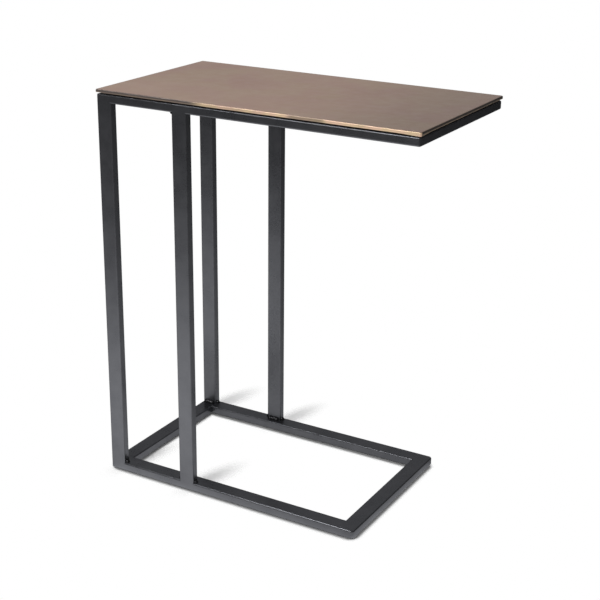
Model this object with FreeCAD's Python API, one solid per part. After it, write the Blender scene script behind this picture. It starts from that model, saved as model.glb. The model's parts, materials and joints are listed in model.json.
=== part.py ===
import FreeCAD, Part
import math
import os

# C shaped side table: a welded frame of flat rectangular steel tube that carries a thin metal-faced top.
# Millimetres. Origin on the floor under the middle of the top, +X to the free end, +Y to the rear, +Z up.

# Whole table
overall_height = 610.0
frame_length = 515.0
frame_depth = 273.0
base_length = 434.0
leg_spacing = 131.0

# Steel tube, laid flat in the rails and stood with its wide face to the front in the legs
tube_width = 25.4
tube_height = 12.7
tube_wall = 1.5
tube_corner_radius = 2.3
base_corner_radius = 5.5
top_corner_radius = 3.0

# Top: a sheet metal pan filled with a board
top_overhang = 1.5
top_thickness = 4.5
shadow_gap = 2.2
skin_sheet = 1.0
skin_edge_radius = 1.5
skin_corner_radius = 2.5
core_clearance = 0.2

# Fillet welds
foot_bead = 5.0
foot_bead_setback = 3.2
head_bead = 3.2
tab_bead = 2.4
bead_pitch = 3.1
bead_ripple = 0.35
bead_end_height = 1.2
bead_end_bulge = 0.15

# Tabs under the top, and what clamps the top to them
tab_width = 26.0
tab_reach = 24.0
tab_thickness = 2.0
tab_corner_radius = 5.0
tab_hole_from_rail = 13.0
tab_inset = 96.0
screw_diameter = 5.0
screw_length = 10.0
screw_head_diameter = 9.5
screw_head_height = 2.8
screw_head_edge_radius = 0.9
screw_socket_width = 3.0
screw_socket_depth = 1.7
screw_hole_clearance = 0.25
thread_clearance = 0.05
washer_diameter = 13.0
washer_thickness = 1.0
spacer_diameter = 16.0
nut_barrel_diameter = 7.0
nut_flange_diameter = 14.0
nut_flange_thickness = 0.8
nut_seat_clearance = 0.1
bumper_diameter = 10.0

# Push-in floor glides
glide_lift = 1.5
glide_diameter = 16.0
glide_edge_radius = 0.6
glide_stem_diameter = 5.8
glide_stem_length = 6.5
glide_barb = 0.5
glide_barb_length = 2.0
glide_hole_clearance = 0.1
glide_inset = 36.0

# Levels
base_bottom = glide_lift
base_top = base_bottom + tube_height
top_underside = overall_height - top_thickness
rail_top = top_underside - shadow_gap
rail_bottom = rail_top - tube_height

# Plan positions, from the middle of the top
frame_left = -frame_length / 2
frame_right = frame_length / 2
frame_front = -frame_depth / 2
frame_rear = frame_depth / 2
base_right = frame_left + base_length

UP = FreeCAD.Vector(0, 0, 1)
DOWN = FreeCAD.Vector(0, 0, -1)
RIGHT = FreeCAD.Vector(1, 0, 0)
LEFT = FreeCAD.Vector(-1, 0, 0)
REAR = FreeCAD.Vector(0, 1, 0)
FRONT = FreeCAD.Vector(0, -1, 0)
ORIGIN = FreeCAD.Vector(0, 0, 0)


def rounded_prism(low, high, radii):
    """An upright box from its low to its high corner, its four vertical edges rounded.

    The radii go round from the left front edge: right front, right rear and left rear follow.
    """
    corners = (
        (low.x, low.y, 1, 1),
        (high.x, low.y, -1, 1),
        (high.x, high.y, -1, -1),
        (low.x, high.y, 1, -1),
    )
    edges = []
    ends = []
    for (x, y, inward_x, inward_y), radius in zip(corners, radii):
        lead_x = inward_x * inward_y > 0
        middle = radius * (1 - math.sqrt(0.5))
        along_x = FreeCAD.Vector(x + inward_x * radius, y, low.z)
        along_y = FreeCAD.Vector(x, y + inward_y * radius, low.z)
        half_way = FreeCAD.Vector(x + inward_x * middle, y + inward_y * middle, low.z)
        first, last = (along_y, along_x) if lead_x else (along_x, along_y)
        edges.append(Part.Arc(first, half_way, last).toShape())
        ends.append((first, last))
    for index, (first, last) in enumerate(ends):
        following = ends[(index + 1) % len(ends)][0]
        edges.append(Part.LineSegment(last, following).toShape())
    wire = Part.Wire(Part.__sortEdges__(edges))
    return Part.Face(wire).extrude(FreeCAD.Vector(0, 0, high.z - low.z))


def box(low, high):
    """A plain box from its low to its high corner."""
    size = high - low
    return Part.makeBox(size.x, size.y, size.z, low)


def disc(centre, diameter, thickness):
    """An upright disc standing on its centre point."""
    return Part.makeCylinder(diameter / 2, thickness, centre)


def tube_bar(start, length, inset):
    """A flat bar of the tube's outline along X, drawn in all round by the inset."""
    wide = tube_width - 2 * inset
    high = tube_height - 2 * inset
    radius = tube_corner_radius - inset
    if radius <= 0:
        return Part.makeBox(length, wide, high, start + FreeCAD.Vector(0, inset, inset))
    upright = rounded_prism(ORIGIN, FreeCAD.Vector(high, wide, length), (radius,) * 4)
    upright.rotate(ORIGIN, REAR, 90)
    upright.translate(start + FreeCAD.Vector(0, inset, high + inset))
    return upright


def turned_end(bar, end, radius):
    """A bar along X that turns through a quarter circle at the front of its far end.

    Args:
        bar: the straight bar, as far as its end.
        end: where the bar's front and end faces would meet.
        radius: radius of the turn at the tube's outer face.
    """
    around = FreeCAD.Vector(tube_width, tube_width, tube_height)
    pivot = end + FreeCAD.Vector(-radius, radius, 0)
    if bar.BoundBox.YMin >= pivot.y:
        return bar
    low = FreeCAD.Vector(bar.BoundBox.XMin, bar.BoundBox.YMin, bar.BoundBox.ZMin) - around
    high = FreeCAD.Vector(pivot.x, bar.BoundBox.YMax, bar.BoundBox.ZMax + tube_height)
    straight = bar.common(box(low, high + REAR * tube_width))
    outer_side = straight.common(box(low, FreeCAD.Vector(pivot.x, pivot.y, high.z)))
    end_face = max(outer_side.Faces, key=lambda face: face.CenterOfMass.x)
    return straight.fuse(end_face.revolve(pivot, UP, 90)).removeSplitter()


def leg_outline(corner, bottom, top):
    """The leg's outer form, solid, from one level to another."""
    low = FreeCAD.Vector(corner.x, corner.y, bottom)
    high = FreeCAD.Vector(corner.x + tube_width, corner.y + tube_height, top)
    return rounded_prism(low, high, (tube_corner_radius,) * 4)


def mitred_rails(right, level, land_bottom, corner_radius):
    """Front, rear, left and right rails of one rectangle, mitred at the corners.

    The long edges of the tube are built up square where a leg stands flush, as weld metal ground flat leaves them.

    Args:
        right: where the rectangle ends at the free end.
        level: underside of the rails.
        land_bottom: lower level of the built-up edges.
        corner_radius: radius of the two corners at the free end.
    """
    front_left = FreeCAD.Vector(frame_left, frame_front, level)
    below = UP * tube_height
    outline = rounded_prism(
        front_left - below,
        FreeCAD.Vector(right + tube_width, frame_rear, level + 2 * tube_height),
        (tube_corner_radius,) * 4,
    )
    lands = [leg_outline(corner, land_bottom, land_bottom + tube_height / 2) for corner in leg_corners.values()]

    def mitred(run, turned_ends):
        """Bar, bore and mitre of one rail from the left front corner along X, with some of its ends turned."""
        end = front_left + RIGHT * run
        half_way = front_left + RIGHT * (run / 2)
        bars = [tube_bar(front_left, run, inset) for inset in (0, tube_wall)]
        for _ in range(turned_ends):
            bars = [turned_end(bar.mirror(half_way, RIGHT), end, corner_radius) for bar in bars]
        outside = tube_width
        inside = 2 * tube_width
        plan = ((-outside, -outside), (run + outside, -outside), (run - inside, inside), (inside, inside))
        points = [front_left - below + FreeCAD.Vector(x, y, 0) for x, y in plan]
        mitre = Part.Face(Part.makePolygon(points + points[:1])).extrude(UP * (3 * tube_height))
        return *bars, mitre

    def across(shapes):
        """The same shapes turned over the corner's diagonal, so that a run along X goes along Y."""
        return [shape.mirror(front_left, FreeCAD.Vector(1, -1, 0)) for shape in shapes]

    def opposite(shapes, middle, direction):
        """The same shapes on the other side of the rectangle."""
        return [shape.mirror(middle, direction) for shape in shapes]

    middle = FreeCAD.Vector((frame_left + right) / 2, 0, level)
    front = mitred(right - frame_left, 1)
    members = {
        "front": front,
        "rear": opposite(front, middle, REAR),
        "left": across(mitred(frame_depth, 0)),
        "right": opposite(across(mitred(frame_depth, 2)), middle, RIGHT),
    }
    rails = {}
    for side, (bar, bore, mitre) in members.items():
        rail = bar.common(mitre).common(outline)
        for land in lands:
            built_up = land.common(mitre)
            if built_up.Solids:
                rail = rail.fuse(built_up)
        rails[side] = rail.cut(bore).removeSplitter()
    return rails


def leg(corner):
    """One leg tube, standing on the base rails and reaching the underside of the top rails."""
    outer = leg_outline(corner, base_top, rail_bottom)
    low = FreeCAD.Vector(corner.x + tube_wall, corner.y + tube_wall, base_top)
    high = FreeCAD.Vector(corner.x + tube_width - tube_wall, corner.y + tube_height - tube_wall, rail_bottom)
    bore_radius = tube_corner_radius - tube_wall
    if bore_radius <= 0:
        return outer.cut(box(low, high))
    return outer.cut(rounded_prism(low, high, (bore_radius,) * 4))


def weld_bead(centre, wall, floor, length, size):
    """A rippled quarter-round bead in a corner, rounded off at its ends.

    Args:
        centre: middle of the corner line.
        wall: direction away from the first face.
        floor: direction away from the second face.
        length: length of the run.
        size: leg length of the weld at the crests of its ripples.
    """
    ripples = max(2, round(length / bead_pitch))
    step = length / ripples
    heights = [bead_end_height] + [size - bead_ripple] * (ripples - 1) + [bead_end_height]
    knots = [FreeCAD.Vector(index * step, height, 0) for index, height in enumerate(heights)]
    edges = [Part.LineSegment(ORIGIN, knots[0]).toShape()]
    for start, end in zip(knots, knots[1:]):
        chord = end - start
        bulge = bead_end_bulge if chord.y else bead_ripple / step
        crest = (start + end) * 0.5 + FreeCAD.Vector(-chord.y, chord.x, 0) * bulge
        edges.append(Part.Arc(start, crest, end).toShape())
    far_end = FreeCAD.Vector(length, 0, 0)
    edges.append(Part.LineSegment(knots[-1], far_end).toShape())
    edges.append(Part.LineSegment(far_end, ORIGIN).toShape())
    bead = Part.Face(Part.Wire(edges)).revolve(ORIGIN, RIGHT, 90)
    along = wall.cross(floor)
    start = centre - along * (length / 2)
    bead.Placement = FreeCAD.Placement(FreeCAD.Matrix(
        along.x, wall.x, floor.x, start.x,
        along.y, wall.y, floor.y, start.y,
        along.z, wall.z, floor.z, start.z,
        0, 0, 0, 1,
    ))
    return bead


def long_side_bead(name, level, away, size):
    """The bead across a leg's wide inner face."""
    corner = leg_corners[name]
    inward = REAR if "front" in name else FRONT
    inner_face = corner.y + tube_height if "front" in name else corner.y
    centre = FreeCAD.Vector(corner.x + tube_width / 2, inner_face, level)
    return weld_bead(centre, inward, away, tube_width - 2 * tube_corner_radius, size)


def short_side_bead(name, level, away, side, setback, size):
    """The bead along a leg's narrow side, starting at a set distance from the flush face."""
    corner = leg_corners[name]
    face = corner.x + tube_width if side is RIGHT else corner.x
    length = tube_height - tube_corner_radius - setback
    middle = setback + length / 2
    depth = corner.y + middle if "front" in name else corner.y + tube_height - middle
    return weld_bead(FreeCAD.Vector(face, depth, level), side, away, length, size)


def top_skin():
    """The sheet metal pan: a flat face with its rim turned down all round."""
    reach_x = frame_length / 2 + top_overhang
    reach_y = frame_depth / 2 + top_overhang
    edge_radius = min(skin_edge_radius, 3 * skin_sheet)
    blank = rounded_prism(
        FreeCAD.Vector(-reach_x, -reach_y, top_underside),
        FreeCAD.Vector(reach_x, reach_y, overall_height),
        (skin_corner_radius,) * 4,
    )
    upper = [edge for edge in blank.Edges if min(v.Z for v in edge.Vertexes) > overall_height - top_thickness / 2]
    blank = blank.makeFillet(edge_radius, upper)
    return blank.cut(top_filling(skin_sheet, overall_height - skin_sheet))


def top_filling(inset, top):
    """A plate that fills the pan from its open side, at a set distance from the pan's outline."""
    reach_x = frame_length / 2 + top_overhang - inset
    reach_y = frame_depth / 2 + top_overhang - inset
    radius = max(skin_corner_radius - inset, skin_corner_radius / 4)
    return rounded_prism(
        FreeCAD.Vector(-reach_x, -reach_y, top_underside),
        FreeCAD.Vector(reach_x, reach_y, top),
        (radius,) * 4,
    )


def fixing_tab(hole, toward_rail):
    """A plate welded to a rail's inner side, with a hole for a screw.

    Args:
        hole: middle of the screw hole at the tab's underside.
        toward_rail: direction from the hole to the rail.
    """
    sideways = UP.cross(toward_rail) * (tab_width / 2)
    rail_end = hole + toward_rail * tab_hole_from_rail
    free_end = rail_end - toward_rail * tab_reach
    corners = [rail_end - sideways, rail_end + sideways, free_end - sideways, free_end + sideways]
    low = FreeCAD.Vector(min(c.x for c in corners), min(c.y for c in corners), hole.z)
    high = FreeCAD.Vector(max(c.x for c in corners), max(c.y for c in corners), hole.z + tab_thickness)
    directions = (LEFT + FRONT, RIGHT + FRONT, RIGHT + REAR, LEFT + REAR)
    welded_radius = tab_corner_radius / 10
    radii = [welded_radius if d.dot(toward_rail) > 0 else tab_corner_radius for d in directions]
    hole_diameter = screw_diameter + 2 * screw_hole_clearance
    return rounded_prism(low, high, radii).cut(disc(hole, hole_diameter, tab_thickness))


def screw(head_top):
    """A button head screw, its head down, from the level where the head meets its washer."""
    head_bottom = head_top - UP * screw_head_height
    head = disc(head_bottom, screw_head_diameter, screw_head_height)
    rim = [edge for edge in head.Edges if edge.BoundBox.ZMax < head_bottom.z + screw_head_height / 2]
    head = head.makeFillet(screw_head_edge_radius, [edge for edge in rim if len(edge.Vertexes) == 1])
    corner_radius = screw_socket_width / math.sqrt(3)
    turns = [math.radians(60 * index) for index in range(7)]
    points = [head_bottom + FreeCAD.Vector(math.cos(t), math.sin(t), 0) * corner_radius for t in turns]
    socket = Part.Face(Part.makePolygon(points)).extrude(UP * screw_socket_depth)
    shank = disc(head_top, screw_diameter, screw_length)
    return head.cut(socket).fuse(shank).removeSplitter()


def ring(centre, outer_diameter, bore_diameter, thickness):
    """A flat ring standing on its centre point."""
    return disc(centre, outer_diameter, thickness).cut(disc(centre, bore_diameter, thickness))


def tee_nut(seat):
    """A flanged nut let into the board from above, on the axis of its screw."""
    flange_bottom = overall_height - skin_sheet - nut_flange_thickness
    barrel = disc(seat, nut_barrel_diameter, flange_bottom - seat.z)
    flange = disc(FreeCAD.Vector(seat.x, seat.y, flange_bottom), nut_flange_diameter, nut_flange_thickness)
    bore = disc(seat, screw_diameter + 2 * thread_clearance, top_thickness)
    return barrel.fuse(flange).cut(bore).removeSplitter()


def tee_nut_seat(seat):
    """The stepped hole in the board for a flanged nut."""
    flange_bottom = overall_height - skin_sheet - nut_flange_thickness
    barrel = disc(seat, nut_barrel_diameter + 2 * nut_seat_clearance, top_thickness)
    flange_diameter = nut_flange_diameter + 2 * nut_seat_clearance
    return barrel.fuse(disc(FreeCAD.Vector(seat.x, seat.y, flange_bottom), flange_diameter, top_thickness))


def glide(foot):
    """A push-in floor glide: a round head under the rail and a barbed stem in it."""
    stem_radius = glide_stem_diameter / 2
    barb_radius = stem_radius + glide_barb
    head_radius = glide_diameter / 2
    catch = glide_lift + tube_wall + glide_hole_clearance
    tip = glide_lift + glide_stem_length
    arc_middle = glide_edge_radius * (1 - math.sqrt(0.5))
    edge_low = FreeCAD.Vector(head_radius - glide_edge_radius, 0, 0)
    edge_middle = FreeCAD.Vector(head_radius - arc_middle, 0, arc_middle)
    edge_high = FreeCAD.Vector(head_radius, 0, glide_edge_radius)
    outline = [
        edge_high,
        FreeCAD.Vector(head_radius, 0, glide_lift),
        FreeCAD.Vector(stem_radius, 0, glide_lift),
        FreeCAD.Vector(stem_radius, 0, catch),
        FreeCAD.Vector(barb_radius, 0, catch),
        FreeCAD.Vector(stem_radius, 0, catch + glide_barb_length),
        FreeCAD.Vector(stem_radius, 0, tip),
        FreeCAD.Vector(0, 0, tip),
        ORIGIN,
        edge_low,
    ]
    edges = [Part.LineSegment(a, b).toShape() for a, b in zip(outline, outline[1:])]
    edges.append(Part.Arc(edge_low, edge_middle, edge_high).toShape())
    turned = Part.Face(Part.Wire(edges)).revolve(ORIGIN, UP, 360)
    turned.translate(foot)
    return turned


# Left front plan corner of each leg
inner_leg_left = frame_left + leg_spacing
rear_leg_front = frame_rear - tube_height
leg_corners = {
    "front_outer_leg": FreeCAD.Vector(frame_left, frame_front, 0),
    "front_inner_leg": FreeCAD.Vector(inner_leg_left, frame_front, 0),
    "rear_outer_leg": FreeCAD.Vector(frame_left, rear_leg_front, 0),
    "rear_inner_leg": FreeCAD.Vector(inner_leg_left, rear_leg_front, 0),
}

nodes = {}

# Rails and legs
base_lands = base_top - tube_height / 2
for side, rail in mitred_rails(base_right, base_bottom, base_lands, base_corner_radius).items():
    nodes[f"base_{side}_rail"] = rail
for side, rail in mitred_rails(frame_right, rail_bottom, rail_bottom, top_corner_radius).items():
    nodes[f"top_{side}_rail"] = rail
for name, corner in leg_corners.items():
    nodes[name] = leg(corner)

# Welds at the legs' feet and heads
base_welds = []
top_welds = []
for name in leg_corners:
    base_welds.append(long_side_bead(name, base_top, UP, foot_bead))
    base_welds.append(short_side_bead(name, base_top, UP, RIGHT, foot_bead_setback, foot_bead))
    top_welds.append(long_side_bead(name, rail_bottom, DOWN, head_bead))
    if "inner" in name:
        base_welds.append(short_side_bead(name, base_top, UP, LEFT, foot_bead_setback, foot_bead))
        top_welds.append(short_side_bead(name, rail_bottom, DOWN, LEFT, 0, head_bead))
nodes["base_leg_welds"] = Part.makeCompound(base_welds)
nodes["top_leg_welds"] = Part.makeCompound(top_welds)

# Tabs on the rails' inner sides, just below the rounding of the tube's edge
tab_top = rail_top - tube_corner_radius
tab_bottom = tab_top - tab_thickness
long_rail_y = frame_depth / 2 - tube_width - tab_hole_from_rail
short_rail_x = frame_length / 2 - tube_width - tab_hole_from_rail
tab_x = frame_length / 2 - tab_inset
tab_places = {
    "front_left_tab": (FreeCAD.Vector(-tab_x, -long_rail_y, tab_bottom), FRONT),
    "front_right_tab": (FreeCAD.Vector(tab_x, -long_rail_y, tab_bottom), FRONT),
    "rear_left_tab": (FreeCAD.Vector(-tab_x, long_rail_y, tab_bottom), REAR),
    "rear_right_tab": (FreeCAD.Vector(tab_x, long_rail_y, tab_bottom), REAR),
    "left_end_tab": (FreeCAD.Vector(-short_rail_x, 0, tab_bottom), LEFT),
    "right_end_tab": (FreeCAD.Vector(short_rail_x, 0, tab_bottom), RIGHT),
}
tab_welds = []
for name, (hole, toward_rail) in tab_places.items():
    nodes[name] = fixing_tab(hole, toward_rail)
    rail_line = hole + toward_rail * tab_hole_from_rail
    tab_welds.append(weld_bead(rail_line, -toward_rail, DOWN, tab_width - tab_corner_radius, tab_bead))
nodes["tab_welds"] = Part.makeCompound(tab_welds)

# Top, and the screws that clamp it down through the tabs
hole_diameter = screw_diameter + 2 * screw_hole_clearance
washers = []
screws = []
spacers = []
tee_nuts = []
core = top_filling(skin_sheet + core_clearance, overall_height - skin_sheet)
for hole, toward_rail in tab_places.values():
    seat = FreeCAD.Vector(hole.x, hole.y, top_underside)
    washer_bottom = hole - UP * washer_thickness
    spacer_bottom = hole + UP * tab_thickness
    washers.append(ring(washer_bottom, washer_diameter, hole_diameter, washer_thickness))
    screws.append(screw(washer_bottom))
    spacers.append(ring(spacer_bottom, spacer_diameter, hole_diameter, top_underside - tab_top))
    tee_nuts.append(tee_nut(seat))
    core = core.cut(tee_nut_seat(seat))
nodes["top_skin"] = top_skin()
nodes["top_core"] = core
nodes["top_tee_nuts"] = Part.makeCompound(tee_nuts)
nodes["top_screws"] = Part.makeCompound(screws)
nodes["screw_washers"] = Part.makeCompound(washers)
nodes["tab_spacers"] = Part.makeCompound(spacers)

# Bumpers that keep the gap open at the corners of the top
bumper_x = frame_length / 2 - tube_width / 2
bumper_y = frame_depth / 2 - tube_width / 2
bumpers = []
for x in (-bumper_x, bumper_x):
    for y in (-bumper_y, bumper_y):
        bumpers.append(disc(FreeCAD.Vector(x, y, rail_top), bumper_diameter, shadow_gap))
nodes["corner_bumpers"] = Part.makeCompound(bumpers)

# Floor glides in the undersides of the long base rails
glide_y = frame_depth / 2 - tube_width / 2
glide_hole = glide_stem_diameter + 2 * glide_hole_clearance
glide_columns = {"left": frame_left + glide_inset, "right": base_right - glide_inset}
for row, y in (("front", -glide_y), ("rear", glide_y)):
    for column, x in glide_columns.items():
        foot = FreeCAD.Vector(x, y, 0)
        nodes[f"{row}_{column}_glide"] = glide(foot)
        drilled = disc(foot + UP * base_bottom, glide_hole, tube_wall)
        nodes[f"base_{row}_rail"] = nodes[f"base_{row}_rail"].cut(drilled)

os.makedirs("parts", exist_ok=True)
for name, shape in nodes.items():
    shape.exportStep(f"parts/{name}.step")
    print(name, len(shape.Solids), "solid, valid" if shape.isValid() else "solid, not valid", round(shape.Volume, 1))
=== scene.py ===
"""Looks of a C shaped side table: a black coated tube frame, a patinated bronze top and their fixings."""

import json
import logging
import math
from collections.abc import Iterator
from dataclasses import dataclass, field
from enum import Enum
from typing import Any, TypeAlias

import bpy
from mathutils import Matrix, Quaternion, Vector, noise


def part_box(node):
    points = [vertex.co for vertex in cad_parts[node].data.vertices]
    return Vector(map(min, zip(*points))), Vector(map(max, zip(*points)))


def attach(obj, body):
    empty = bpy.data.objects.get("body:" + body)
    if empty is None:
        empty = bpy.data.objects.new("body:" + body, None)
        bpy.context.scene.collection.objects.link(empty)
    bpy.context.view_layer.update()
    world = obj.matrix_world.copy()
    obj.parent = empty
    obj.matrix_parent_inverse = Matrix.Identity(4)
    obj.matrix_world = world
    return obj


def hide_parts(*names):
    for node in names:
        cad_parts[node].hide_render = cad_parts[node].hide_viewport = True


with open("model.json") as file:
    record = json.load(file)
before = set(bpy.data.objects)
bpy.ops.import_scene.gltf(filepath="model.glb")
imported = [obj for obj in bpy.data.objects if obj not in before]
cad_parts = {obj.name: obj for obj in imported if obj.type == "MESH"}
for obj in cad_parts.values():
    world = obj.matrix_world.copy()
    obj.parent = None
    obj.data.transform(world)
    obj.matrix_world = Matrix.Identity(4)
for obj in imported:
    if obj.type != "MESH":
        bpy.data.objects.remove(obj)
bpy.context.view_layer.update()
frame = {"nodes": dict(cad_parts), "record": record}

log = logging.getLogger("side_table")

Colour: TypeAlias = tuple[float, float, float]
Span: TypeAlias = tuple[float, float]
Spot: TypeAlias = tuple[int, int]
Face: TypeAlias = tuple[int, ...]

BODY = "root"
MILLIMETRE = 0.001
QUARTER_TURN = 90.0
WHITE = (1.0, 1.0, 1.0)

# Numbers of a Mix node's colour sockets, whose names it also gives to other sockets
MIX_FIRST = 6
MIX_SECOND = 7
MIX_RESULT = 2

# Parts of a noise pattern's range that are stretched to the whole range
FIRM = (0.35, 0.65)
GENTLE = (0.30, 0.70)


class Slot(Enum):
    """The record's material slots."""

    FRAME = "frame_black"
    WELD = "weld_black"
    BRONZE = "bronze"
    BOARD = "board_black"
    STEEL = "screw_steel"
    RUBBER = "spacer_rubber"
    NYLON = "glide_nylon"


class Seen(Enum):
    """Which rays a stage piece is shown to."""

    BY_ALL = "all"
    IN_GLOSS = "gloss"


class Signal:
    """One output of a shader tree, with operators that add the nodes of an expression."""

    def __init__(self, tree: "ShaderTree", socket: bpy.types.NodeSocket) -> None:
        """Keep the tree and the socket that carries the value."""
        self.tree = tree
        self.socket = socket

    def maths(self, operation: str, *terms: "Signal | float") -> "Signal":
        """Add a Math node, with its inputs in order."""
        return self.tree.signal("ShaderNodeMath", 0, {"operation": operation}, dict(enumerate(terms)))

    def __add__(self, other: "Signal | float") -> "Signal":
        """Sum of two values."""
        return self.maths("ADD", self, other)

    def __radd__(self, other: float) -> "Signal":
        """Sum with a number on the left."""
        return self.maths("ADD", other, self)

    def __sub__(self, other: "Signal | float") -> "Signal":
        """Difference of two values."""
        return self.maths("SUBTRACT", self, other)

    def __rsub__(self, other: float) -> "Signal":
        """Difference from a number on the left."""
        return self.maths("SUBTRACT", other, self)

    def __mul__(self, other: "Signal | float") -> "Signal":
        """Product of two values."""
        return self.maths("MULTIPLY", self, other)

    def __rmul__(self, other: float) -> "Signal":
        """Product with a number on the left."""
        return self.maths("MULTIPLY", other, self)

    def __neg__(self) -> "Signal":
        """Value with its sign turned."""
        return self.maths("MULTIPLY", self, -1.0)

    def __abs__(self) -> "Signal":
        """Value without its sign."""
        return self.maths("ABSOLUTE", self)

    def fading(self, length: float) -> "Signal":
        """One at zero, and less by the same share over each length."""
        return self.maths("EXPONENT", self * (-1.0 / length))

    def smaller(self, other: "Signal | float") -> "Signal":
        """Smaller of two values."""
        return self.maths("MINIMUM", self, other)

    def larger(self, other: "Signal | float") -> "Signal":
        """Larger of two values."""
        return self.maths("MAXIMUM", self, other)

    def weighed(self, other: "Signal", share: float) -> "Signal":
        """Mean of two values, with the given share of this one."""
        return self * share + other * (1.0 - share)

    def rise(self, low: float, high: float, start: float = 0.0, end: float = 1.0) -> "Signal":
        """Ease a value from one level to another.

        Args:
            low: Where the rise begins.
            high: Where the rise ends.
            start: The result up to low.
            end: The result from high on.

        Returns:
            The eased value.
        """
        settings = {"interpolation_type": "SMOOTHSTEP"}
        inputs = {"Value": self, "From Min": low, "From Max": high, "To Min": start, "To Max": end}
        return self.tree.signal("ShaderNodeMapRange", "Result", settings, inputs)


@dataclass(frozen=True)
class Pattern:
    """A noise pattern: its size in metres, how many finer layers it has and how strong they are."""

    size: float
    layers: float = 2.0
    strength: float = 0.5


class ShaderTree:
    """A node tree that is filled from expressions."""

    def __init__(self, tree: bpy.types.NodeTree) -> None:
        """Empty the tree, so that only the nodes made here are in it."""
        self.tree = tree
        self.tree.nodes.clear()

    def node(self, kind: str, settings: dict[str, Any] | None = None,
             inputs: dict[Any, Any] | None = None) -> bpy.types.Node:
        """Add a node.

        Args:
            kind: The node's type.
            settings: Its settings, set before the sockets.
            inputs: Values, signals or shader sockets, by a socket's name or number.

        Returns:
            The node.
        """
        node = self.tree.nodes.new(kind)
        for name, value in (settings or {}).items():
            setattr(node, name, value)
        for key, value in (inputs or {}).items():
            self.feed(node.inputs[key], value)
        return node

    def feed(self, socket: bpy.types.NodeSocket, value: Any) -> None:
        """Link a signal to a socket, or set a plain value on it.

        Args:
            socket: The input to feed.
            value: A signal, a socket, a number or a colour.
        """
        if isinstance(value, Signal):
            self.tree.links.new(value.socket, socket)
        elif isinstance(value, bpy.types.NodeSocket):
            self.tree.links.new(value, socket)
        elif socket.type == "RGBA":
            socket.default_value = (*value, 1.0)
        else:
            socket.default_value = value

    def signal(self, kind: str, output: str | int, settings: dict[str, Any] | None = None,
               inputs: dict[Any, Any] | None = None) -> Signal:
        """Add a node and take one of its outputs, by name or number."""
        return Signal(self, self.node(kind, settings, inputs).outputs[output])

    def place(self) -> Signal:
        """Point on the piece, in metres in the table's frame."""
        return self.signal("ShaderNodeTexCoord", "Object")

    def axes(self, vector: Signal) -> list[Signal]:
        """Three parts of a vector."""
        node = self.node("ShaderNodeSeparateXYZ", inputs={"Vector": vector})
        return [Signal(self, socket) for socket in node.outputs]

    def vector(self, operation: str, *terms: Signal | Colour) -> Signal:
        """Add a Vector Math node, with its inputs in order."""
        inputs = dict(enumerate(terms))
        return self.signal("ShaderNodeVectorMath", "Vector", {"operation": operation}, inputs)

    def length(self, vector: Signal) -> Signal:
        """Length of a vector."""
        return self.signal("ShaderNodeVectorMath", "Value", {"operation": "LENGTH"}, {0: vector})

    def dot(self, vector: Signal, axis: Vector) -> Signal:
        """How far a vector reaches along an axis."""
        inputs = {0: vector, 1: tuple(axis)}
        return self.signal("ShaderNodeVectorMath", "Value", {"operation": "DOT_PRODUCT"}, inputs)

    def joined(self, x: Signal, y: Signal) -> Signal:
        """Level vector of two parts."""
        return self.signal("ShaderNodeCombineXYZ", "Vector", None, {"X": x, "Y": y, "Z": 0.0})

    def stretched(self, vector: Signal, factors: Colour) -> Signal:
        """Vector scaled along each axis."""
        return self.vector("MULTIPLY", vector, factors)

    def grain(self, vector: Signal, pattern: Pattern) -> Signal:
        """Add a noise pattern.

        Args:
            vector: The point that it is read at.
            pattern: Its size and layers.

        Returns:
            A value around a half.
        """
        inputs = {
            "Vector": vector,
            "Scale": 1.0 / pattern.size,
            "Detail": pattern.layers,
            "Roughness": pattern.strength,
        }
        return self.signal("ShaderNodeTexNoise", 0, {"noise_dimensions": "3D"}, inputs)

    def blend(self, share: Signal, first: Signal | Colour, second: Signal | Colour) -> Signal:
        """Mix two colours, with the given share of the second."""
        inputs = {"Factor": share, MIX_FIRST: first, MIX_SECOND: second}
        return self.signal("ShaderNodeMix", MIX_RESULT, {"data_type": "RGBA"}, inputs)

    def bump(self, height: Signal, depth: float) -> Signal:
        """Surface direction with a pattern pressed into it, depth in metres."""
        inputs = {"Height": height, "Distance": depth, "Strength": 1.0}
        return self.signal("ShaderNodeBump", "Normal", None, inputs)

    def surface(self, **inputs: Any) -> None:
        """Finish the tree with one coated or bare surface.

        Args:
            inputs: The shader's sockets, with spaces in their names written as underscores.
        """
        named = {name.replace("_", " "): value for name, value in inputs.items()}
        shader = self.node("ShaderNodeBsdfPrincipled", None, named)
        self.node("ShaderNodeOutputMaterial", None, {"Surface": shader.outputs["BSDF"]})

    def glow(self, level: Signal) -> None:
        """Finish the tree with a grey light of its own.

        Args:
            level: How bright each point is.
        """
        grey = self.signal("ShaderNodeCombineColor", "Color", None, {0: level, 1: level, 2: level})
        light = self.node("ShaderNodeEmission", None, {"Color": grey, "Strength": 1.0})
        self.node("ShaderNodeOutputMaterial", None, {"Surface": light.outputs["Emission"]})

    def mixed(self, share: Signal, first: bpy.types.NodeSocket,
              second: bpy.types.NodeSocket) -> bpy.types.NodeSocket:
        """Mix two shaders, with the given share of the second."""
        return self.node("ShaderNodeMixShader", None, {0: share, 1: first, 2: second}).outputs["Shader"]


def new_material(name: str) -> tuple[bpy.types.Material, ShaderTree]:
    """Make an empty node material.

    Args:
        name: The material's name.

    Returns:
        The material and its tree.
    """
    material = bpy.data.materials.new(name)
    material.use_nodes = True
    return material, ShaderTree(material.node_tree)


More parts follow.
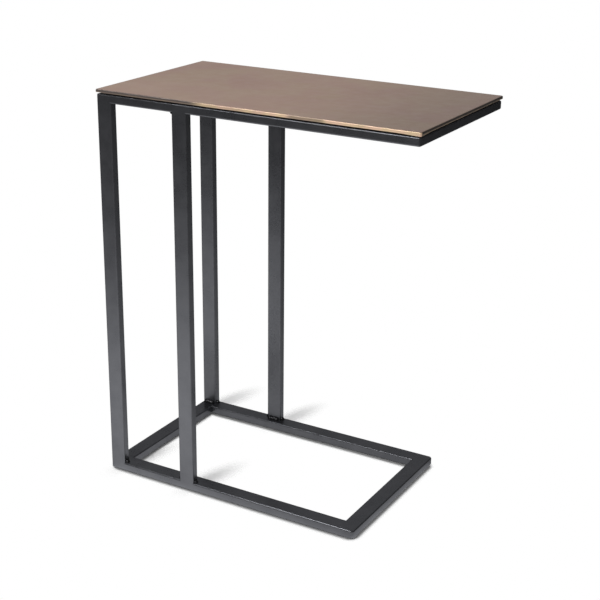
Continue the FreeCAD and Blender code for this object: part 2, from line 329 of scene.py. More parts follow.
@dataclass(frozen=True)
class PowderCoat:
    """Dark powder coat with a metallic grey sheen and a fine orange peel."""

    name: str = "black powder coat"
    dark: Colour = (0.095, 0.097, 0.106)
    light: Colour = (0.119, 0.121, 0.131)
    metallic: float = 0.88
    edge_tint: Colour = (0.38, 0.38, 0.38)
    smooth: float = 0.26
    dull: float = 0.36
    cloud: Pattern = Pattern(0.045, 4.0, 0.6)
    peel: Pattern = Pattern(0.0022)
    speck: Pattern = Pattern(0.0007, 1.0)
    peel_depth: float = 0.00005
    cloud_in_tone: float = 0.7
    cloud_in_gloss: float = 0.5

    def material(self) -> bpy.types.Material:
        """Mix the coat.

        Returns:
            The coat's material.
        """
        material, tree = new_material(self.name)
        place = tree.place()
        cloud = tree.grain(place, self.cloud)
        speck = tree.grain(place, self.speck)
        peel = tree.grain(place, self.peel)
        tone = cloud.weighed(speck, self.cloud_in_tone).rise(*FIRM)
        tree.surface(
            Base_Color=tree.blend(tone, self.dark, self.light),
            Metallic=self.metallic,
            Specular_Tint=self.edge_tint,
            Roughness=cloud.weighed(peel, self.cloud_in_gloss).rise(*GENTLE, self.smooth, self.dull),
            Normal=tree.bump(peel, self.peel_depth),
        )
        return material


@dataclass(frozen=True)
class BronzePatina:
    """Satin brown bronze, rubbed back to bright brass along part of its rim, with painted shade along its
    edges and towards its free end.
    """

    half_length: float
    half_depth: float
    underside: float
    name: str = "bronze patina"
    brown: Colour = (0.352, 0.215, 0.170)
    tan: Colour = (0.392, 0.263, 0.200)
    olive: Colour = (0.362, 0.254, 0.174)
    umber: Colour = (0.098, 0.079, 0.071)
    # Painted shade colour for the rim of the free end
    end_rim_shade: Colour = (0.040, 0.030, 0.024)
    brass: Colour = (0.655, 0.490, 0.305)
    rose: Colour = (0.675, 0.462, 0.330)
    face_metallic: float = 0.32
    rim_metallic: float = 0.30
    face_smooth: float = 0.38
    face_dull: float = 0.50
    rim_roughness: float = 0.45
    cloud: Pattern = Pattern(0.11, 3.0, 0.55)
    drift: Pattern = Pattern(0.075)
    mottle: Pattern = Pattern(0.018, 4.0, 0.55)
    brush: Pattern = Pattern(0.0011)
    brush_stretch: float = 0.04
    cloud_in_tone: float = 0.55
    mottle_in_tone: float = 0.25
    brush_in_tone: float = 0.20
    mottle_in_gloss: float = 0.6
    tan_span: Span = (0.36, 0.72)
    olive_span: Span = (0.42, 0.60)
    olive_most: float = 0.80
    rose_span: Span = (0.4, 0.6)
    dent_depth: float = 0.00004
    # Painted shade: the face darkens towards the free end
    free_end_shade_share: float = 0.36
    rim_turn: Span = (0.45, 0.93)
    front_band: Span = (0.97, 0.99)
    rub: Pattern = Pattern(0.030, 4.0, 0.6)
    rub_wander: float = 0.016
    rub_start: float = -0.097
    rub_full: float = -0.068
    rub_least: float = 0.80
    wear_span: Span = (0.3, 0.5)
    wear_least: float = 0.78
    lip_height: float = 0.0022
    lip_full: float = 0.2
    lip_share: float = 0.22
    # Painted light: the lip is lighter at the free end
    end_lit_lip_share: float = 0.30
    lip_span: Span = (0.35, 0.6)
    lip_least: float = 0.5
    patch_middle: float = 0.0905
    patch_half: float = 0.0275
    patch_edge: float = 0.006
    patch_share: float = 0.62
    # Painted shade: a thin dark band along the face's edges
    edge_width: float = 0.0034
    edge_share: float = 0.80
    end_rim_shade_width: float = 0.004

    def material(self) -> bpy.types.Material:
        """Mix the patina.

        Returns:
            The top's material.
        """
        material, tree = new_material(self.name)
        place = tree.place()
        x, y, z = tree.axes(place)
        cloud = tree.grain(place, self.cloud)
        mottle = tree.grain(place, self.mottle)
        brush = tree.grain(tree.stretched(place, (self.brush_stretch, 1.0, 1.0)), self.brush)
        tone = cloud * self.cloud_in_tone + mottle * self.mottle_in_tone + brush * self.brush_in_tone
        drift = tree.grain(place, self.drift)
        hue = tree.blend(drift.rise(*self.olive_span, 0.0, self.olive_most), self.brown, self.olive)
        face = tree.blend(tone.rise(*self.tan_span), hue, self.tan)
        rim = self.rim_share(tree)
        # Painted shade on the free end's rim: its upper part turns from umber to near black, and its lower
        # lip is painted lighter.
        end = x.rise(self.half_length - self.end_rim_shade_width, self.half_length - self.end_rim_shade_width / 2.0)
        dark = tree.blend(end, self.umber, self.end_rim_shade)
        bright = self.rubbed_share(tree, x, y, z, end)
        # Painted shade: the face darkens in a thin band along its edges, except where the rim is rubbed
        # bright.
        edge = (self.half_length - abs(x)).smaller(self.half_depth - abs(y))
        wear_and_edge_shade = edge.rise(0.0, self.edge_width, self.edge_share, 0.0) * (1.0 - bright)
        # Painted shade: the face is also darker towards the free end.
        deep = wear_and_edge_shade.larger(x.rise(0.0, self.half_length, 0.0, self.free_end_shade_share))
        shaded_face = tree.blend(deep, face, dark)
        metal = tree.blend(bright, dark, tree.blend(mottle.rise(*self.rose_span), self.brass, self.rose))
        gloss = mottle.weighed(brush, self.mottle_in_gloss).rise(*GENTLE, self.face_smooth, self.face_dull)
        tree.surface(
            Base_Color=tree.blend(rim, shaded_face, metal),
            Metallic=rim * (self.rim_metallic - self.face_metallic) + self.face_metallic,
            Roughness=gloss + rim * (self.rim_roughness - self.face_dull),
            Normal=tree.bump(mottle, self.dent_depth),
        )
        return material

    def rim_share(self, tree: ShaderTree) -> Signal:
        """Share of the rim, which is where the surface turns away from level."""
        _, _, up = tree.axes(tree.signal("ShaderNodeNewGeometry", "Normal"))
        return abs(up).rise(*self.rim_turn, 1.0, 0.0)

    def rubbed_share(self, tree: ShaderTree, x: Signal, y: Signal, z: Signal, end: Signal) -> Signal:
        """Find where the rim is bright brass.

        Args:
            tree: The material's tree.
            x: Place along the length.
            y: Place across the depth.
            z: Height.
            end: Share of the free end's rim, where shade and a lighter lip are painted.

        Returns:
            One where the patina is rubbed away.
        """
        grain = tree.grain(tree.place(), self.rub)
        front = (-y).rise(self.half_depth * self.front_band[0], self.half_depth * self.front_band[1])
        along = (x + grain * self.rub_wander - self.rub_wander / 2.0).rise(self.rub_start, self.rub_full)
        patch = (self.patch_half - self.patch_edge, self.patch_half + self.patch_edge)
        kept = abs(x - self.patch_middle).rise(*patch, 1.0 - self.patch_share, 1.0)
        wear_and_edge_shade = grain.rise(*self.wear_span, self.wear_least, 1.0)
        wear_and_edge_shade = wear_and_edge_shade * x.rise(self.rub_full, self.patch_middle, self.rub_least, 1.0)
        lip = (z - self.underside).rise(self.lip_full * self.lip_height, self.lip_height, 1.0, 0.0)
        # At the free end the lip is painted lighter.
        lip = lip * (end * (self.end_lit_lip_share - self.lip_share) + self.lip_share)
        return (front * along * kept * wear_and_edge_shade).larger(lip * grain.rise(*self.lip_span, self.lip_least, 1.0))


@dataclass(frozen=True)
class SealedBoard:
    """Black sealed fibreboard with short fibres under the paint."""

    name: str = "black sealed board"
    dark: Colour = (0.020, 0.019, 0.018)
    light: Colour = (0.045, 0.042, 0.039)
    smooth: float = 0.55
    dull: float = 0.75
    fibre: Pattern = Pattern(0.0009, 4.0, 0.7)
    fibre_stretch: float = 0.2
    cloud: Pattern = Pattern(0.02, 3.0)
    fibre_in_tone: float = 0.6
    relief: float = 0.00006

    def material(self) -> bpy.types.Material:
        """Mix the sealed surface.

        Returns:
            The board's material.
        """
        material, tree = new_material(self.name)
        place = tree.place()
        fibre = tree.grain(tree.stretched(place, (self.fibre_stretch, 1.0, 1.0)), self.fibre)
        cloud = tree.grain(place, self.cloud)
        tone = fibre.weighed(cloud, self.fibre_in_tone).rise(*FIRM)
        tree.surface(
            Base_Color=tree.blend(tone, self.dark, self.light),
            Roughness=fibre.rise(*GENTLE, self.smooth, self.dull),
            Normal=tree.bump(fibre, self.relief),
        )
        return material


@dataclass(frozen=True)
class ZincPlate:
    """Bright zinc plate with faint turning marks and dull stains."""

    name: str = "zinc plate"
    bright: Colour = (0.560, 0.565, 0.575)
    stained: Colour = (0.360, 0.365, 0.370)
    smooth: float = 0.24
    dull: float = 0.42
    stain: Pattern = Pattern(0.0035, 4.0, 0.6)
    mark: Pattern = Pattern(0.0004, 1.0)
    mark_stretch: float = 0.15
    stain_in_gloss: float = 0.6
    mark_depth: float = 0.00001

    def material(self) -> bpy.types.Material:
        """Mix the plated metal.

        Returns:
            The plate's material.
        """
        material, tree = new_material(self.name)
        place = tree.place()
        stain = tree.grain(place, self.stain)
        mark = tree.grain(tree.stretched(place, (1.0, 1.0, self.mark_stretch)), self.mark)
        tree.surface(
            Base_Color=tree.blend(stain.rise(*FIRM), self.bright, self.stained),
            Metallic=1.0,
            Roughness=stain.weighed(mark, self.stain_in_gloss).rise(*GENTLE, self.smooth, self.dull),
            Normal=tree.bump(mark, self.mark_depth),
        )
        return material


@dataclass(frozen=True)
class MouldedBlack:
    """Black rubber or nylon with a fine moulded skin."""

    name: str
    dark: Colour
    light: Colour
    smooth: float
    dull: float
    skin: Pattern = Pattern(0.0005, 3.0, 0.6)
    cloud: Pattern = Pattern(0.006)
    skin_in_tone: float = 0.4
    skin_depth: float = 0.00002

    def material(self) -> bpy.types.Material:
        """Mix the moulded skin.

        Returns:
            The moulding's material.
        """
        material, tree = new_material(self.name)
        place = tree.place()
        skin = tree.grain(place, self.skin)
        cloud = tree.grain(place, self.cloud)
        tone = skin.weighed(cloud, self.skin_in_tone).rise(*FIRM)
        tree.surface(
            Base_Color=tree.blend(tone, self.dark, self.light),
            Roughness=skin.rise(*GENTLE, self.smooth, self.dull),
            Normal=tree.bump(skin, self.skin_depth),
        )
        return material


# Painted shade: the welds' coat is darker than the tubes', for the shade where the legs meet the rails.
SHADED_WELD_COAT = PowderCoat(
    name="black coat on welds",
    dark=(0.030, 0.030, 0.032),
    light=(0.055, 0.055, 0.058),
    smooth=0.20,
    dull=0.32,
)
RUBBER = MouldedBlack(
    name="black rubber",
    dark=(0.016, 0.016, 0.016),
    light=(0.032, 0.032, 0.032),
    smooth=0.70,
    dull=0.88,
)
NYLON = MouldedBlack(
    name="black nylon",
    dark=(0.024, 0.024, 0.026),
    light=(0.044, 0.044, 0.047),
    smooth=0.42,
    dull=0.58,
)


def dress(slot: Slot, material: bpy.types.Material) -> None:
    """Give every CAD piece of one slot its finish.

    Args:
        slot: The pieces' slot in the record.
        material: What they are finished with.
    """
    for part in frame["record"]["subparts"]:
        if part["material_slot"] == slot.value:
            mesh = frame["nodes"][part["node"]].data
            mesh.materials.clear()
            mesh.materials.append(material)
            log.info("%s: %s", part["node"], material.name)


@dataclass
class TubeFrame:
    """Welded frame of rails, legs, tabs and their weld beads."""

    coat: PowderCoat = PowderCoat()
    bead_coat: PowderCoat = SHADED_WELD_COAT

    def finish(self) -> None:
        """Coat the tubes and the beads."""
        dress(Slot.FRAME, self.coat.material())
        # The beads' darker coat is painted shade.
        dress(Slot.WELD, self.bead_coat.material())


@dataclass
class Fixings:
    """Board, screws, nuts, washers, spacers, bumpers and glides."""

    board: SealedBoard = SealedBoard()
    plate: ZincPlate = ZincPlate()
    rubber: MouldedBlack = RUBBER
    nylon: MouldedBlack = NYLON

    def finish(self) -> None:
        """Dress every piece under the top and under the base."""
        dress(Slot.BOARD, self.board.material())
        dress(Slot.STEEL, self.plate.material())
        dress(Slot.RUBBER, self.rubber.material())
        dress(Slot.NYLON, self.nylon.material())


@dataclass
class MeshDraft:
    """A mesh while its points and faces are set out."""

    points: list[Vector] = field(default_factory=list)
    faces: list[Face] = field(default_factory=list)

    def add(self, point: Vector) -> int:
        """Add a point and give its number."""
        self.points.append(point)
        return len(self.points) - 1

    def piece(self, name: str) -> bpy.types.Object:
        """Make the mesh and its object, and link it to the scene.

        Args:
            name: The name of both.

        Returns:
            The object.
        """
        mesh = bpy.data.meshes.new(name)
        mesh.from_pydata(self.points, [], self.faces)
        piece = bpy.data.objects.new(name, mesh)
        bpy.context.scene.collection.objects.link(piece)
        return piece


@dataclass(frozen=True)
class RimStep:
    """One ring of the sheet's edge: its inset, its height, and its shares of the rim's waves and hang."""

    inset: float
    height: float
    sway: float
    hang: float


@dataclass
class TopSheet:
    """Thin bronze sheet with turned-down edges, a little uneven from hand finishing."""

    low: Vector
    high: Vector
    sheet: float = 1.0 * MILLIMETRE
    edge_radius: float = 1.5 * MILLIMETRE
    hem_radius: float = 0.4 * MILLIMETRE
    corner_radius: float = 2.5 * MILLIMETRE
    cell: float = 4.0 * MILLIMETRE
    edge_steps: int = 6
    hem_steps: int = 3
    corner_lines: int = 2
    sway_depth: float = 0.45 * MILLIMETRE
    sway_length: float = 34.0 * MILLIMETRE
    sway_seed: float = 3.0
    dip_depth: float = 0.22 * MILLIMETRE
    dip_length: float = 95.0 * MILLIMETRE
    dip_margin: float = 25.0 * MILLIMETRE
    dip_seed: float = 7.0
    hang_depth: float = 1.0 * MILLIMETRE
    hang_length: float = 34.0 * MILLIMETRE

    def build(self) -> bpy.types.Object:
        """Make the sheet as one closed mesh.

        Returns:
            The sheet's object.
        """
        xs = self.lines(self.high.x)
        ys = self.lines(self.high.y)
        loop = list(self.border(len(xs), len(ys)))
        steps = list(self.profile())
        draft = MeshDraft()
        upper = self.grid(draft, xs, ys, loop, steps[0], 1.0)
        rings = [[upper[spot] for spot in loop]]
        for step in steps[1:-1]:
            rings.append([draft.add(self.ring_point(spot, step, xs, ys)) for spot in loop])
        lower = self.grid(draft, xs, ys, loop, steps[-1], 0.0)
        rings.append([lower[spot] for spot in loop])
        for i in range(len(xs) - 1):
            for j in range(len(ys) - 1):
                quad = [(i, j), (i + 1, j), (i + 1, j + 1), (i, j + 1)]
                draft.faces.append(tuple(upper[spot] for spot in quad))
                draft.faces.append(tuple(lower[spot] for spot in reversed(quad)))
        for inner, outer in zip(rings, rings[1:]):
            for k in range(len(loop)):
                after = (k + 1) % len(loop)
                draft.faces.append((inner[after], inner[k], outer[k], outer[after]))
        piece = draft.piece("bronze_sheet")
        piece.data.validate()
        piece.data.shade_smooth()
        return piece

    def lines(self, half: float) -> list[float]:
        """Set out the face's grid lines along one axis.

        Args:
            half: Half the sheet's size along the axis.

        Returns:
            The lines' places, close together at the two corners.
        """
        straight = half - self.corner_radius
        bend = self.corner_radius - self.edge_radius
        count = round(2.0 * straight / self.cell)
        inner = [-straight + 2.0 * straight * k / count for k in range(count + 1)]
        corner = [straight + bend * k / self.corner_lines for k in range(1, self.corner_lines + 1)]
        return [*(-place for place in reversed(corner)), *inner, *corner]

    def border(self, across: int, deep: int) -> Iterator[Spot]:
        """Go once round the border of the grid.

        Args:
            across: Number of lines along the length.
            deep: Number of lines along the depth.

        Yields:
            The grid places in order.
        """
        yield from ((i, 0) for i in range(across - 1))
        yield from ((across - 1, j) for j in range(deep - 1))
        yield from ((i, deep - 1) for i in range(across - 1, 0, -1))
        yield from ((0, j) for j in range(deep - 1, 0, -1))

    def profile(self) -> Iterator[RimStep]:
        """Go from the face's border over the rim to the inside of the sheet.

        Yields:
            The rings in order.
        """
        top = self.high.z
        bottom = self.low.z
        middle = (top + bottom) / 2.0
        for k in range(self.edge_steps + 1):
            turn = math.radians(QUARTER_TURN * k / self.edge_steps)
            inset = self.edge_radius * (1.0 - math.sin(turn))
            yield RimStep(inset, top - self.edge_radius * (1.0 - math.cos(turn)), math.sin(turn), 0.0)
        yield RimStep(0.0, middle, 1.0, 0.5)
        for k in range(self.hem_steps + 1):
            turn = math.radians(QUARTER_TURN * k / self.hem_steps)
            inset = self.hem_radius * (1.0 - math.cos(turn))
            yield RimStep(inset, bottom + self.hem_radius * (1.0 - math.sin(turn)), 1.0, 1.0)
        yield RimStep(self.sheet, bottom, 0.0, 1.0)
        yield RimStep(self.sheet, middle, 0.0, 0.5)
        yield RimStep(self.sheet, top - self.sheet, 0.0, 0.0)

    def grid(self, draft: MeshDraft, xs: list[float], ys: list[float], loop: list[Spot],
             step: RimStep, dip_share: float) -> dict[Spot, int]:
        """Add the points of a level face.

        Args:
            draft: The mesh that takes the points.
            xs: Grid lines along the length.
            ys: Grid lines along the depth.
            loop: The border's places in order.
            step: The ring that borders the face.
            dip_share: How much of the face's dips it has.

        Returns:
            Each grid place's point number.
        """
        numbers = {spot: draft.add(self.ring_point(spot, step, xs, ys)) for spot in loop}
        for i in range(1, len(xs) - 1):
            for j in range(1, len(ys) - 1):
                height = step.height - dip_share * self.dip(xs[i], ys[j])
                numbers[i, j] = draft.add(Vector((xs[i], ys[j], height)))
        return numbers

    def ring_point(self, spot: Spot, step: RimStep, xs: list[float], ys: list[float]) -> Vector:
        """Place one border point on a ring.

        Args:
            spot: The grid place on the border.
            step: The ring.
            xs: Grid lines along the length.
            ys: Grid lines along the depth.

        Returns:
            The point, with the rim's unevenness.
        """
        bend_x = self.high.x - self.corner_radius
        bend_y = self.high.y - self.corner_radius
        i, j = spot
        side_x = math.copysign(1.0, xs[i])
        side_y = math.copysign(1.0, ys[j])
        near_x = min(i, len(xs) - 1 - i)
        near_y = min(j, len(ys) - 1 - j)
        if max(near_x, near_y) <= self.corner_lines:
            middle_turn = QUARTER_TURN / 2.0
            turn = math.radians(middle_turn + middle_turn / self.corner_lines * (near_x - near_y))
            out = Vector((side_x * math.cos(turn), side_y * math.sin(turn), 0.0))
            flat = Vector((side_x * bend_x, side_y * bend_y, 0.0))
        elif near_y == 0:
            out = Vector((0.0, side_y, 0.0))
            flat = Vector((xs[i], side_y * bend_y, 0.0))
        else:
            out = Vector((side_x, 0.0, 0.0))
            flat = Vector((side_x * bend_x, ys[j], 0.0))
        sway = self.sway_depth * step.sway * self.unevenness(flat, self.sway_length, self.sway_seed)
        point = flat + out * (self.corner_radius - step.inset - sway)
        point.z = step.height - step.hang * self.hem_drop(flat)
        return point

    def hem_drop(self, point: Vector) -> float:
        """Find how much lower the hem hangs, which it does close to the front corner of the free end.

        Args:
            point: A point of the rim.

        Returns:
            The drop, most at the corner and eased out along both sides.
        """
        away = math.hypot(self.high.x - point.x, self.high.y + point.y)
        share = max(0.0, 1.0 - away / self.hang_length)
        return self.hang_depth * share * share * (3.0 - 2.0 * share)

    def unevenness(self, point: Vector, length: float, seed: float) -> float:
        """Smooth value from 0 to 1 that wanders over the given length."""
        spot = Vector((point.x / length, point.y / length, seed))
        return min(1.0, max(0.0, 0.5 + 0.5 * noise.noise(spot)))

    def dip(self, x: float, y: float) -> float:
        """Find how deep the face dips, which it does away from its edges.

        Args:
            x: Place along the length.
            y: Place across the depth.

        Returns:
            The depth at that place.
        """
        margin = min(self.high.x - abs(x), self.high.y - abs(y))
        share = min(1.0, max(0.0, margin / self.dip_margin))
        return self.dip_depth * share * self.unevenness(Vector((x, y, 0.0)), self.dip_length, self.dip_seed)

    def finish(self, piece: bpy.types.Object) -> None:
        """Dress the sheet, tie it to the frame and put it in place of its CAD solid.

        Args:
            piece: The sheet's object.
        """
        piece.data.materials.append(BronzePatina(self.high.x, self.high.y, self.low.z).material())
        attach(piece, BODY)
        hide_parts("top_skin")
        log.info("%s: %s", piece.name, piece.data.materials[0].name)


def level_sheet(low: Vector, high: Vector) -> MeshDraft:
    """Set out a level rectangle.

    Args:
        low: Its left front corner.
        high: Its right rear corner.

    Returns:
        The rectangle's draft.
    """
    corners = [(low.x, low.y), (high.x, low.y), (high.x, high.y), (low.x, high.y)]
    return MeshDraft([Vector((x, y, low.z)) for x, y in corners], [(0, 1, 2, 3)])


def level_square(half: float, height: float) -> MeshDraft:
    """Level square round the table's middle."""
    return level_sheet(Vector((-half, -half, height)), Vector((half, half, height)))


def set_up(name: str, draft: MeshDraft, material: bpy.types.Material, seen: Seen) -> None:
    """Put one stage piece in place.

    Args:
        name: The piece's name.
        draft: Its points and faces.
        material: Its material.
        seen: Which rays it is shown to.
    """
    piece = draft.piece(name)
    piece.data.materials.append(material)
    if seen is Seen.IN_GLOSS:
        piece.visible_camera = False
        piece.visible_diffuse = False
        piece.visible_shadow = False
        piece.visible_transmission = False
        piece.visible_volume_scatter = False
    log.info("%s: %s", name, material.name)


@dataclass(frozen=True)
class BaseOutline:
    """The base rails from above: their outer corners and their width."""

    low: Vector
    high: Vector
    rail_width: float

    def line_distance(self, tree: ShaderTree) -> Signal:
        """Measure from the middle line of the rails.

        Args:
            tree: The tree of a level stage piece.

        Returns:
            The distance, less than zero inside the line.
        """
        middle = (self.low + self.high) / 2.0
        half = (self.high - self.low) / 2.0
        line = (half.x - self.rail_width / 2.0, half.y - self.rail_width / 2.0, 0.0)
        away = tree.vector("SUBTRACT", tree.place(), (middle.x, middle.y, 0.0))
        past = tree.vector("SUBTRACT", tree.vector("ABSOLUTE", away), line)
        outside = tree.length(tree.vector("MAXIMUM", past, (0.0, 0.0, 0.0)))
        past_x, past_y, _ = tree.axes(past)
        return outside + past_x.larger(past_y).smaller(0.0)

    def rail_distance(self, tree: ShaderTree) -> Signal:
        """Distance from the sides of the rails."""
        return abs(self.line_distance(tree)) - self.rail_width / 2.0


@dataclass
class Lighting:
    """Soft key lamp from the front left, and a plain level of light from all round."""

    ambient: float = 0.80
    key_place: Vector = Vector((-0.42, -1.78, 1.75))
    key_size: float = 0.7
    key_power: float = 21.0
    aim: Vector = Vector((0.0, 0.0, 0.30))

    def shadow_run(self) -> Vector:
        """Find the level way that shadows run.

        Returns:
            A vector of length one, away from the key lamp.
        """
        run = (self.aim - self.key_place) * Vector((1.0, 1.0, 0.0))
        run.normalize()
        return run

    def build(self) -> None:
        """Hang the key lamp and light the world."""
        self.add_key()
        self.add_world()

    def add_key(self) -> None:
        """Large soft lamp, turned to the table."""
        lamp = bpy.data.lights.new("key lamp", "AREA")
        lamp.shape = "SQUARE"
        lamp.size = self.key_size
        lamp.energy = self.key_power
        piece = bpy.data.objects.new("key lamp", lamp)
        piece.location = self.key_place
        piece.rotation_euler = (self.aim - self.key_place).to_track_quat("-Z", "Y").to_euler()
        bpy.context.scene.collection.objects.link(piece)

    def add_world(self) -> None:
        """White background, which gloss shows too, and softer light on the surfaces."""
        world = bpy.data.worlds.new("studio")
        world.use_nodes = True
        tree = ShaderTree(world.node_tree)
        path = tree.node("ShaderNodeLightPath")
        seen = Signal(tree, path.outputs["Is Camera Ray"])
        for ray in ("Is Glossy Ray", "Is Transmission Ray"):
            seen = seen.larger(Signal(tree, path.outputs[ray]))
        soft = tree.node("ShaderNodeBackground", None, {"Color": WHITE, "Strength": self.ambient})
        clear = tree.node("ShaderNodeBackground", None, {"Color": WHITE, "Strength": 1.0})
        mixed = tree.mixed(seen, soft.outputs["Background"], clear.outputs["Background"])
        tree.node("ShaderNodeOutputWorld", None, {"Surface": mixed})
        bpy.context.scene.world = world


@dataclass
class Floor:
    """Pale floor that keeps the table's shadow, with a contact shadow painted along the rails, and passes
    into the white background.
    """

    outline: BaseOutline
    leg_feet: list[Vector]
    shadow_run: Vector
    half: float = 1.6
    colour: Colour = (0.97, 0.97, 0.97)
    cloud: Pattern = Pattern(0.3)
    cloud_shade: float = 0.995
    rail_shade: Span = (0.0, 0.009)
    foot_shade: Span = (0.003, 0.032)
    shade_stretch: float = 2.9
    shade_shift: float = 0.046
    contact_shadow_reach: float = 0.0060
    contact_shadow_colour: Colour = (0.36, 0.36, 0.36)

    def build(self) -> None:
        """Lay the floor."""
        material, tree = new_material("pale floor")
        cloud = tree.grain(tree.place(), self.cloud)
        plain = tree.blend(cloud, self.colour, tuple(self.cloud_shade * part for part in self.colour))
        # Painted contact shadow: the floor's colour darkens close to the rails.
        painted_contact_shadow = self.outline.rail_distance(tree).rise(0.0, self.contact_shadow_reach, 1.0, 0.0)
        paint = tree.node("ShaderNodeBsdfPrincipled", None, {
            "Base Color": tree.blend(painted_contact_shadow, plain, self.contact_shadow_colour),
            "Roughness": 1.0,
            "Specular IOR Level": 0.0,
        })
        clear = tree.node("ShaderNodeBsdfTransparent")
        mixed = tree.mixed(self.shade_share(tree), clear.outputs["BSDF"], paint.outputs["BSDF"])
        tree.node("ShaderNodeOutputMaterial", None, {"Surface": mixed})
        set_up("floor", level_square(self.half, 0.0), material, Seen.BY_ALL)

    def shade_share(self, tree: ShaderTree) -> Signal:
        """Find how much of the paint shows.

        Args:
            tree: The floor's tree.

        Returns:
            One close to the rails and the legs' feet, and nothing away from them.
        """
        rails = self.outline.rail_distance(tree).rise(*self.rail_shade, 1.0, 0.0)
        feet = self.foot_distance(tree).rise(*self.foot_shade, 1.0, 0.0)
        return rails.larger(feet)

    def foot_distance(self, tree: ShaderTree) -> Signal:
        """Measure from the nearest spot behind a leg's foot.

        Args:
            tree: The floor's tree.

        Returns:
            The distance, shorter along the way that the leg's shadow runs.
        """
        run = self.shadow_run
        side = Vector((-run.y, run.x, 0.0))
        here = tree.joined(tree.dot(tree.place(), run / self.shade_stretch), tree.dot(tree.place(), side))
        distances = []
        for foot in self.leg_feet:
            along = (foot.dot(run) + self.shade_shift) / self.shade_stretch
            distances.append(tree.length(tree.vector("SUBTRACT", here, (along, foot.dot(side), 0.0))))
        nearest, *others = distances
        for distance in others:
            nearest = nearest.smaller(distance)
        return nearest


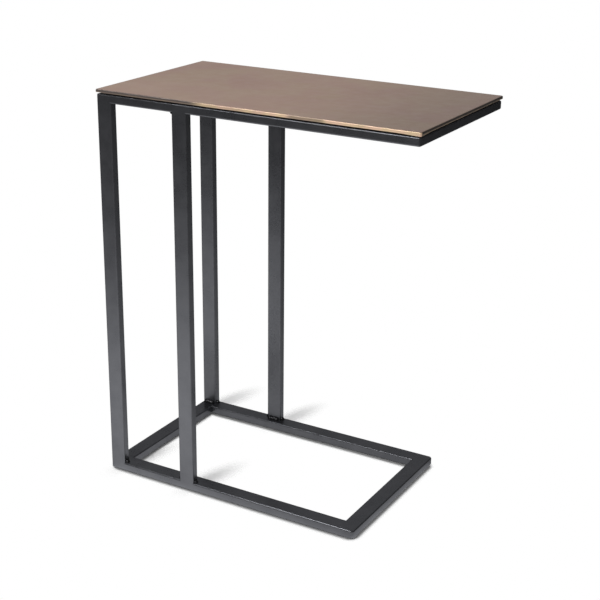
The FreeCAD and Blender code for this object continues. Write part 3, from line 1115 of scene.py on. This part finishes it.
@dataclass
class GlossCards:
    """Dim cards round the table, which only gloss shows; they glow though they are no lamps, and so paint
    reflections.
    """

    outline: BaseOutline
    floor_lift: float = 0.4 * MILLIMETRE
    pool_centre: Vector = Vector((-0.274, -0.49, 0.0))
    pool_run: Vector = Vector((0.507, 0.862, 0.0))
    pool_bend: float = 0.50
    pool_ease: float = 0.50
    pool_length: float = 0.56
    pool_bright: float = 2.25
    pool_limit: float = 1.50
    pool_dim: float = 0.025
    skirt_reach: float = 0.022
    skirt_front: float = 0.45
    skirt_right: float = 1.05
    skirt_blend: float = 0.004
    wall_radius: float = 3.0
    wall_height: float = 2.4
    wall_count: int = 48
    wall_toward: Vector = Vector((-0.507, 0.862, 0.0))
    wall_fade: Span = (0.45, 0.95)
    wall_dim: float = 0.022
    wall_bright: float = 0.48
    ceiling_left: float = 0.25
    ceiling_right: float = 0.20
    strip_low: Vector = Vector((-0.88, -0.75, 1.50))
    strip_high: Vector = Vector((-0.34, -0.30, 1.50))
    strip_fade: float = 0.1
    strip_glow: float = 14.0

    def build(self) -> None:
        """Set up every card."""
        self.add_floor_card()
        self.add_wall()
        self.add_ceiling()
        self.add_strip()

    def add_floor_card(self) -> None:
        """Card just over the floor, with a pool of light that the coat mirrors."""
        material, tree = new_material("floor card")
        away = tree.vector("SUBTRACT", tree.place(), tuple(self.pool_centre))
        along = tree.dot(away, self.pool_run)
        drawn_out = along - (along - self.pool_bend).larger(0.0) * self.pool_ease
        aside = tree.dot(away, Vector((-self.pool_run.y, self.pool_run.x, 0.0)))
        reach = tree.length(tree.joined(drawn_out, aside))
        pool = (reach.fading(self.pool_length) * self.pool_bright).smaller(self.pool_limit)
        tree.glow(pool + self.skirt_level(tree) + self.pool_dim)
        set_up("floor_card", level_square(self.wall_radius, self.floor_lift), material, Seen.IN_GLOSS)

    def skirt_level(self, tree: ShaderTree) -> Signal:
        """Find the extra light close to the outer sides of the base rails.

        Args:
            tree: The floor card's tree.

        Returns:
            The light, which is stronger beyond the right rail.
        """
        x, _, _ = tree.axes(tree.place())
        beyond = self.outline.line_distance(tree) - self.outline.rail_width / 2.0
        near = beyond.rise(0.0, self.skirt_reach, 1.0, 0.0) * beyond.rise(-self.skirt_blend, 0.0)
        right = self.outline.high.x
        return near * x.rise(right - self.skirt_blend, right, self.skirt_front, self.skirt_right)

    def add_wall(self) -> None:
        """Ring of cards, dark but for the side that the level faces mirror."""
        material, tree = new_material("wall card")
        start, stop = (share * self.wall_radius for share in self.wall_fade)
        toward = tree.dot(tree.place(), self.wall_toward)
        tree.glow(toward.rise(start, stop, self.wall_dim, self.wall_bright))
        draft = MeshDraft()
        for k in range(self.wall_count):
            turn = 2.0 * math.pi * k / self.wall_count
            foot = Vector((math.cos(turn), math.sin(turn), 0.0)) * self.wall_radius
            draft.points += [foot, foot + Vector((0.0, 0.0, self.wall_height))]
            after = (k + 1) % self.wall_count
            draft.faces.append((2 * k, 2 * after, 2 * after + 1, 2 * k + 1))
        set_up("wall_card", draft, material, Seen.IN_GLOSS)

    def add_ceiling(self) -> None:
        """Dim card over the ring."""
        material, tree = new_material("ceiling card")
        x, _, _ = tree.axes(tree.place())
        tree.glow(x.rise(-self.wall_radius, self.wall_radius, self.ceiling_left, self.ceiling_right))
        set_up("ceiling_card", level_square(self.wall_radius, self.wall_height), material, Seen.IN_GLOSS)

    def add_strip(self) -> None:
        """Bright card overhead that draws a thin light line along the edge of the top's front rail."""
        material, tree = new_material("strip card")
        x, _, _ = tree.axes(tree.place())
        tree.glow(x.rise(self.strip_low.x, self.strip_low.x + self.strip_fade, 0.0, self.strip_glow))
        set_up("strip_card", level_sheet(self.strip_low, self.strip_high), material, Seen.IN_GLOSS)


@dataclass
class PhotoCamera:
    """Camera at the photograph's viewing angle."""

    eye: Vector = Vector((0.9238, -1.5974, 0.9810))
    target: Vector = Vector((-0.0018, 0.0135, 0.3349))
    roll: float = math.radians(0.576)
    sensor: float = 36.0
    lens: float = 78.006
    shift: float = -0.0492

    def build(self) -> None:
        """Set up the camera and the plain view of its colours."""
        camera = bpy.data.cameras.new("camera")
        camera.sensor_width = self.sensor
        camera.lens = self.lens
        camera.shift_y = self.shift
        piece = bpy.data.objects.new("camera", camera)
        piece.location = self.eye
        piece.rotation_mode = "QUATERNION"
        level = (self.target - self.eye).to_track_quat("-Z", "Y")
        piece.rotation_quaternion = level @ Quaternion((0.0, 0.0, 1.0), self.roll)
        bpy.context.scene.collection.objects.link(piece)
        bpy.context.scene.camera = piece
        bpy.context.scene.view_settings.view_transform = "Standard"


def base_outline() -> BaseOutline:
    """Read the base rails' corners and width from the frame.

    Returns:
        The base's outline.
    """
    low, left_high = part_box("base_left_rail")
    _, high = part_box("base_right_rail")
    return BaseOutline(low, high, left_high.x - low.x)


def leg_middles() -> list[Vector]:
    """Read the legs' middles from the frame.

    Returns:
        One point for each leg.
    """
    legs = ("front_outer_leg", "front_inner_leg", "rear_outer_leg", "rear_inner_leg")
    boxes = [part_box(leg) for leg in legs]
    return [(low + high) / 2.0 for low, high in boxes]


def main() -> None:
    """Build and dress the table, then set the stage."""
    logging.basicConfig(level=logging.INFO, format="%(message)s")
    TubeFrame().finish()
    Fixings().finish()
    sheet = TopSheet(*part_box("top_skin"))
    sheet.finish(sheet.build())
    outline = base_outline()
    lighting = Lighting()
    Floor(outline, leg_middles(), lighting.shadow_run()).build()
    GlossCards(outline).build()
    lighting.build()
    PhotoCamera().build()


if __name__ == "__main__":
    main()
